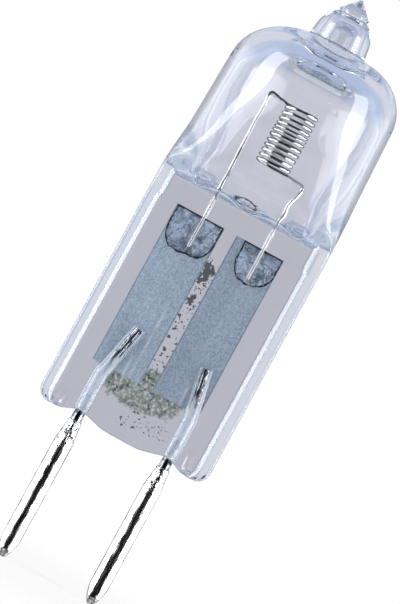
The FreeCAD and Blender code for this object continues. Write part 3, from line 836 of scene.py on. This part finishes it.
def skinFinish():
    finish, tree, shader = newFinish("sealSkin")
    film = ramp(tree, grain(tree, (1.1, 1.1, 1.1), 4.0),
                [(0.37, (0.15, 0.20, 0.28)), (0.63, (0.62, 0.75, 0.93))])
    # painted highlights along the crinkles' folds, and painted shade in them
    skinFoldHighlights = ramp(tree, grain(tree, (2.2, 2.2, 1.0), 3.0), [(0.47, 0.0), (0.5, 1.0), (0.53, 0.0)])
    skinFoldShade = ramp(tree, grain(tree, (1.2, 1.2, 1.7), 4.0), [(0.46, 0.0), (0.49, 1.0), (0.52, 0.0)])
    shade = mixColours(tree, times(tree, skinFoldHighlights, 0.9), film, (0.85, 0.94, 1.0))
    shade = mixColours(tree, times(tree, skinFoldShade, 0.8), shade, (0.03, 0.04, 0.06))
    for side in ("left", "right"):  # painted highlight on the film beside each leg
        paintedLegHighlight = times(tree, stripe(tree, filament[side]["entry"], 0.24),
                     reach(tree, filament["legFoot"] - 0.05, filament["legFoot"] + 0.1))
        shade = mixColours(tree, paintedLegHighlight, shade, (0.98, 0.99, 1.0))
    # painted shade: a near-black outline round each D, along its rim
    rim = addNode(tree, "ShaderNodeAttribute", attribute_name="rim")
    line = ramp(tree, rim.outputs["Fac"], [(0.05, 0.0), (0.3, 1.0)])
    tree.links.new(mixColours(tree, line, shade, (0.004, 0.005, 0.008)), shader.inputs["Base Color"])
    bump(tree, shader, grain(tree, (2.2, 2.2, 2.2), 5.0), 0.5, 0.1)
    shader.inputs["Metallic"].default_value = 0.3
    shader.inputs["Roughness"].default_value = 0.5
    return finish


def leadFinish():
    finish, tree, shader = newFinish("molybdenumWire")
    drawn = ramp(tree, grain(tree, (9, 9, 1.0)), [(0.3, (0.28, 0.29, 0.31)), (0.7, (0.42, 0.44, 0.46))])
    turned = mathNode(tree, "ABSOLUTE", ownNormal(tree)["Y"])
    paintedLight = ramp(tree, turned, [(0.7, (1.0, 1.0, 1.0)), (0.9, (0.70, 0.79, 0.88))])  # painted sheen: white at the sides, bluer in front and behind
    stained = ramp(tree, grain(tree, (3.2, 3.2, 1.3), 5.0), [(0.47, 0.0), (0.54, 1.0)])
    upper = times(tree, stained, reach(tree, 3.4, 4.6))
    bare = reach(tree, 0.5, 0.2)
    necks = times(tree, bare, ramp(tree, grain(tree, (5, 5, 5), 4.0), [(0.46, 0.0), (0.54, 0.8)]))
    dark = either(tree, upper, necks)
    # inside the seal the wire takes the painted sheen, duller and less metallic
    sealed = times(tree, reach(tree, 5.2, 3.6), opposite(tree, bare))
    mottled = ramp(tree, grain(tree, (4, 4, 2.0), 5.0), [(0.4, (0.55, 0.62, 0.70)), (0.52, (1.0, 1.0, 1.0))])
    shade = mixColours(tree, sealed, drawn, mixColours(tree, 0.7, paintedLight, mottled, "MULTIPLY"))
    tree.links.new(mixColours(tree, dark, shade, (0.05, 0.055, 0.06)), shader.inputs["Base Color"])
    dull = ramp(tree, grain(tree, (6, 6, 1.5)), [(0.3, 0.12), (0.7, 0.24)])
    tree.links.new(mathNode(tree, "ADD", dull, times(tree, sealed, 0.5)), shader.inputs["Roughness"])
    tree.links.new(opposite(tree, times(tree, sealed, 0.9)), shader.inputs["Metallic"])
    return finish


def pinFinish():
    finish, tree, shader = newFinish("brightPlating")
    streaks = grain(tree, (6, 6, 0.35), 5.0)
    plated = ramp(tree, streaks, [(0.3, (0.62, 0.62, 0.63)), (0.6, (0.88, 0.88, 0.88))])
    pits = ramp(tree, grain(tree, (4.5, 4.5, 3.2), 4.0), [(0.54, 0.0), (0.6, 1.0)])
    swaged = reach(tree, -2.6, -1.5)
    plated = mixColours(tree, times(tree, pits, swaged), plated, (0.03, 0.03, 0.03))
    tree.links.new(plated, shader.inputs["Base Color"])
    scuffs = ramp(tree, grain(tree, (8, 8, 0.7), 4.0), [(0.35, 0.08), (0.7, 0.3)])
    tree.links.new(scuffs, shader.inputs["Roughness"])
    rough = times(tree, grain(tree, (5, 5, 4), 4.0), times(tree, swaged, 4.0))
    waver = times(tree, grain(tree, (0.9, 0.9, 0.5), 2.0), 6.0)
    bump(tree, shader, mathNode(tree, "ADD", mathNode(tree, "ADD", streaks, rough), waver), 0.4, 0.06)
    shader.inputs["Metallic"].default_value = 1.0
    return finish


def inkFinish():
    finish, tree, shader = newFinish("wornInk")
    oliveShade = ramp(tree, grain(tree, (2.5, 2.5, 2.5), 4.0),
                      [(0.35, (0.22, 0.32, 0.16)), (0.65, (0.45, 0.57, 0.36))])
    ragged = mathNode(tree, "ADD", fromSpot(tree, *ink["patch"]), sway(tree, (1.3, 1.3, 1.3), 0.9, 6.0))
    edge = ramp(tree, ragged, [(0.85, 1.0), (1.0, 0.0)])
    worn = ramp(tree, grain(tree, (4.5, 4.5, 4.5), 6.0), [(0.38, 0.15), (0.55, 0.9)])
    patch = times(tree, edge, worn)
    dots = ramp(tree, grain(tree, (3.4, 3.4, 3.4), 3.0), [(0.58, 0.0), (0.61, 1.0)])
    left, right, top = ink["strip"]
    strip = times(tree, reach(tree, left, left + 0.4, "Along X"), reach(tree, right, right - 0.3, "Along X"))
    strip = times(tree, strip, reach(tree, top, top - 1.3))
    spatter = ramp(tree, fromSpot(tree, *ink["spatter"]), [(0.75, 1.0), (0.95, 0.0)])
    fineDots = ramp(tree, grain(tree, (6.5, 6.5, 6.5), 3.0), [(0.6, 0.0), (0.64, 1.0)])
    specks = times(tree, dots, either(tree, strip, edge))
    specks = either(tree, specks, times(tree, fineDots, spatter))
    torn = sway(tree, (2.6, 2.6, 2.6), 4.5, 4.0)
    for spot, halves in ink["blots"]:
        away = mathNode(tree, "ADD", fromSpot(tree, spot, halves), torn)
        blot = ramp(tree, away, [(0.75, 1.0), (0.9, 0.0)])
        specks = either(tree, specks, blot)
    tree.links.new(mixColours(tree, specks, oliveShade, (0.03, 0.04, 0.03)), shader.inputs["Base Color"])
    tree.links.new(either(tree, patch, times(tree, specks, 0.85)), shader.inputs["Alpha"])
    shader.inputs["Roughness"].default_value = 0.7
    return finish


dress(envelope, glassFinish())
dress(coilWire, tungstenFinish())
skinLook, wireLook, plating = skinFinish(), leadFinish(), pinFinish()
foilLooks = {  # how light, and the painted highlights of its lengthwise creases: place and top
    "left": (1.0, [(-1.95, 6.2), (-1.5, 9.5)]),
    "right": (0.88, [(2.1, 6.5)]),
}
for side in ("left", "right"):
    dress(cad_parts["foil_" + side], foilFinish(side, *foilLooks[side]))
    dress(skins[side], skinLook)
    dress(leadPieces[side], wireLook)
    dress(pinPieces[side], plating)
dress(inkField, inkFinish())
print("finishes laid on")

for piece, node, slot in ((envelope, "quartz_envelope", "quartz"), (coilWire, "filament", "tungsten"),
                          (leadPieces["left"], "outer_lead_left", "molybdenum_wire"),
                          (leadPieces["right"], "outer_lead_right", "molybdenum_wire"),
                          (pinPieces["left"], "contact_pin_left", "pin_plating"),
                          (pinPieces["right"], "contact_pin_right", "pin_plating")):
    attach(piece, "root")
    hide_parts(node)
for side in ("left", "right"):
    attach(skins[side], "root")
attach(inkField, "root")

# studio
studio = {
    "lens": 200,
    "sensor": 36,
    "middle": (0.15, 10.04),
    "frameHeight": 38.35,
    "roll": 28.7,
    "softboxAngle": 67,
    "softboxDistance": 0.15,
    "softboxSize": (0.062, 0.2),
    "softboxStrength": 8,
    # darker at its middle and towards its long edges
    "softboxAcross": [(0.0, 0.0), (0.06, 1.0), (0.4, 1.0), (0.5, 0.7), (0.6, 1.0), (0.94, 1.0), (1.0, 0.0)],
    "softboxAim": (0, 0, 0.012),
    "floorRadius": 24,
    "floorPlainTo": 6,
    "floorAlpha": 0.15,
    "floorHeight": -10.16,
    "bounces": 64,
}
camera = bpy.data.cameras.new("camera")
camera.lens = studio["lens"]
camera.sensor_width = studio["sensor"]
camera.clip_start, camera.clip_end = 0.001, 10
eye = bpy.data.objects.new("camera", camera)
bpy.context.collection.objects.link(eye)
distance = studio["frameHeight"] * mm * studio["lens"] / studio["sensor"]
roll = math.radians(studio["roll"])
right = Vector((math.cos(roll), 0, math.sin(roll)))
up = Vector((-math.sin(roll), 0, math.cos(roll)))
place = Vector((studio["middle"][0] * mm, -distance, studio["middle"][1] * mm))
eye.matrix_world = Matrix((
    (right.x, up.x, 0, place.x), (right.y, up.y, -1, place.y), (right.z, up.z, 0, place.z), (0, 0, 0, 1)))
bpy.context.scene.camera = eye

for side in (-1, 1):
    box = bpy.data.lights.new("softbox", "AREA")
    box.shape = "RECTANGLE"
    box.size, box.size_y = studio["softboxSize"]
    box.energy = studio["softboxStrength"] * math.pi * box.size * box.size_y
    box.use_nodes = True
    glow = box.node_tree
    across = glow.nodes.new("ShaderNodeNewGeometry").outputs["Parametric"]
    across = addNode(glow, "ShaderNodeSeparateXYZ", {0: across}).outputs["Y"]
    glow.links.new(ramp(glow, across, studio["softboxAcross"]), glow.nodes["Emission"].inputs["Strength"])
    lamp = bpy.data.objects.new("softbox", box)
    bpy.context.collection.objects.link(lamp)
    turn = math.radians(studio["softboxAngle"])
    away = Vector((side * math.sin(turn), -math.cos(turn), 0.1)).normalized()
    lamp.location = Vector(studio["softboxAim"]) + away * studio["softboxDistance"]
    lamp.rotation_euler = away.to_track_quat("Z", "Y").to_euler()
    lamp.visible_camera = False
    lamp.visible_transmission = False  # the room holds what glass shows of it

# the floor is white to the eye, takes a soft shadow and fades out into the white room
cleanSlate()
bpy.ops.mesh.primitive_circle_add(vertices=96, radius=studio["floorRadius"] * mm, fill_type="TRIFAN",
                                  location=(0, 0, studio["floorHeight"] * mm))
floor = bpy.context.object
floor.name = "floor"
bpy.ops.object.transform_apply(location=True)
paleFloor, tree, shader = newFinish("paleFloor")
flat = addNode(tree, "ShaderNodeVectorMath", {0: objectInMm(tree)}, operation="MULTIPLY")
flat.inputs[1].default_value = (1, 1, 0)
radius = addNode(tree, "ShaderNodeVectorMath", {0: flat.outputs[0]}, operation="LENGTH").outputs["Value"]
fade = softRange(tree, radius, studio["floorRadius"], studio["floorPlainTo"])
tree.links.new(times(tree, fade, studio["floorAlpha"]), shader.inputs["Alpha"])
shader.inputs["Base Color"].default_value = (0.9, 0.9, 0.9, 1)
shader.inputs["Roughness"].default_value = 0.9
dress(floor, paleFloor)
floor.visible_glossy = False

room = {
    # from straight ahead to the side: the backdrop, and pale cards with blue gaps between them
    "across": [(0.17, (0.74, 0.745, 0.80)), (0.29, (0.76, 0.78, 0.86)), (0.315, (0.45, 0.52, 0.72)),
               (0.34, (0.64, 0.69, 0.81)), (0.45, (0.70, 0.75, 0.86)), (0.47, (0.86, 0.89, 0.94)),
               (0.50, (0.86, 0.89, 0.94)), (0.52, (0.45, 0.52, 0.72)), (0.56, (0.62, 0.68, 0.80)),
               (0.64, (0.95, 0.97, 1.0)), (0.70, (0.70, 0.75, 0.86))],
    "aboveBelow": (0.50, 0.60, 0.80),
    "veil": (0.05, 0.055, 0.07),  # over the wires, off the leaning flats
    "frontInGlass": (0.58, 0.76, 1.0),
    "darkInMetal": (0.008, 0.008, 0.01),
    "sidesInMetal": (2.2, 2.25, 2.3),
    "sidesInHollow": (6.0, 6.1, 6.3),  # tungsten is a dark metal
    "belowInHollow": (1.6, 1.6, 1.63),
    "floorInMetal": (0.75, 0.75, 0.76),  # straight down
    "backInMetal": (0.2, 0.2, 0.22),
    "litInGlass": (1.5, 1.54, 1.62),  # on dull faces inside the glass, which no lamp reaches
    "soft": (0.3, 0.3, 0.31),
}
world = bpy.data.worlds.new("studio")
bpy.context.scene.world = world
world.use_nodes = True
sky = world.node_tree


def skyMask(axis, low, high, fold=False):
    where = mathNode(sky, "ABSOLUTE", axis) if fold else axis
    return softRange(sky, where, low, high)


path = sky.nodes.new("ShaderNodeLightPath")
toX, toY, toZ = addNode(sky, "ShaderNodeSeparateXYZ", {0: coords(sky, "Generated")}).outputs
bounced, passed = path.outputs["Glossy Depth"], path.outputs["Transmission Depth"]
glanced = mathNode(sky, "GREATER_THAN", bounced, 0.5)
# off bare metal, or off metal in a hollow: one bounce, with no face of the glass passed or four
throughWall = mathNode(sky, "COMPARE", passed, 4.0, 0.5)
offMetal = times(sky, mathNode(sky, "COMPARE", bounced, 1.0, 0.5),
                 either(sky, throughWall, mathNode(sky, "LESS_THAN", passed, 0.5)))
upAndBack = times(sky, skyMask(toY, 0.0, 0.2), skyMask(toZ, 0.15, 0.35))  # off the dome, not metal
offMetal = times(sky, offMetal, opposite(sky, upAndBack))
front = skyMask(toY, -0.05, -0.35)
seen = ramp(sky, mathNode(sky, "ABSOLUTE", toX), room["across"])
upDown = skyMask(toZ, 0.25, 0.55, fold=True)
seen = mixColours(sky, upDown, seen, room["aboveBelow"])
veil = times(sky, times(sky, upDown, front), glanced)
seen = mixColours(sky, veil, seen, room["veil"])
ahead = times(sky, front, skyMask(toX, 0.7, 0.55, fold=True))
ahead = times(sky, ahead, skyMask(toZ, 0.6, 0.4, fold=True))
seen = mixColours(sky, times(sky, ahead, glanced), seen, room["frontInGlass"])
mirror = mixColours(sky, skyMask(toY, 0.9, 0.96), room["darkInMetal"], room["backInMetal"])
mirror = mixColours(sky, skyMask(toZ, -0.76, -0.9), mirror, room["floorInMetal"])
below = times(sky, skyMask(toZ, -0.6, -0.85), throughWall)
mirror = mixColours(sky, below, mirror, room["belowInHollow"])
bright = times(sky, skyMask(toX, 0.62, 0.78, fold=True), skyMask(toZ, 0.75, 0.5, fold=True))
sides = mixColours(sky, throughWall, room["sidesInMetal"], room["sidesInHollow"])
mirror = mixColours(sky, bright, mirror, sides)
seen = mixColours(sky, offMetal, seen, mirror)
lit = times(sky, mathNode(sky, "GREATER_THAN", path.outputs["Diffuse Depth"], 0.5),
            path.outputs["Is Transmission Ray"])
seen = mixColours(sky, lit, seen, room["litInGlass"])
mirrored = either(sky, path.outputs["Is Glossy Ray"], path.outputs["Is Transmission Ray"])
seen = mixColours(sky, mirrored, room["soft"], seen)
seen = mixColours(sky, path.outputs["Is Camera Ray"], seen, (1.0, 1.0, 1.0))
sky.links.new(seen, sky.nodes["Background"].inputs["Color"])

scene = bpy.context.scene
scene.view_settings.view_transform = "Standard"
cycles = scene.cycles
cycles.max_bounces = cycles.transmission_bounces = cycles.glossy_bounces = studio["bounces"]
print("studio set")
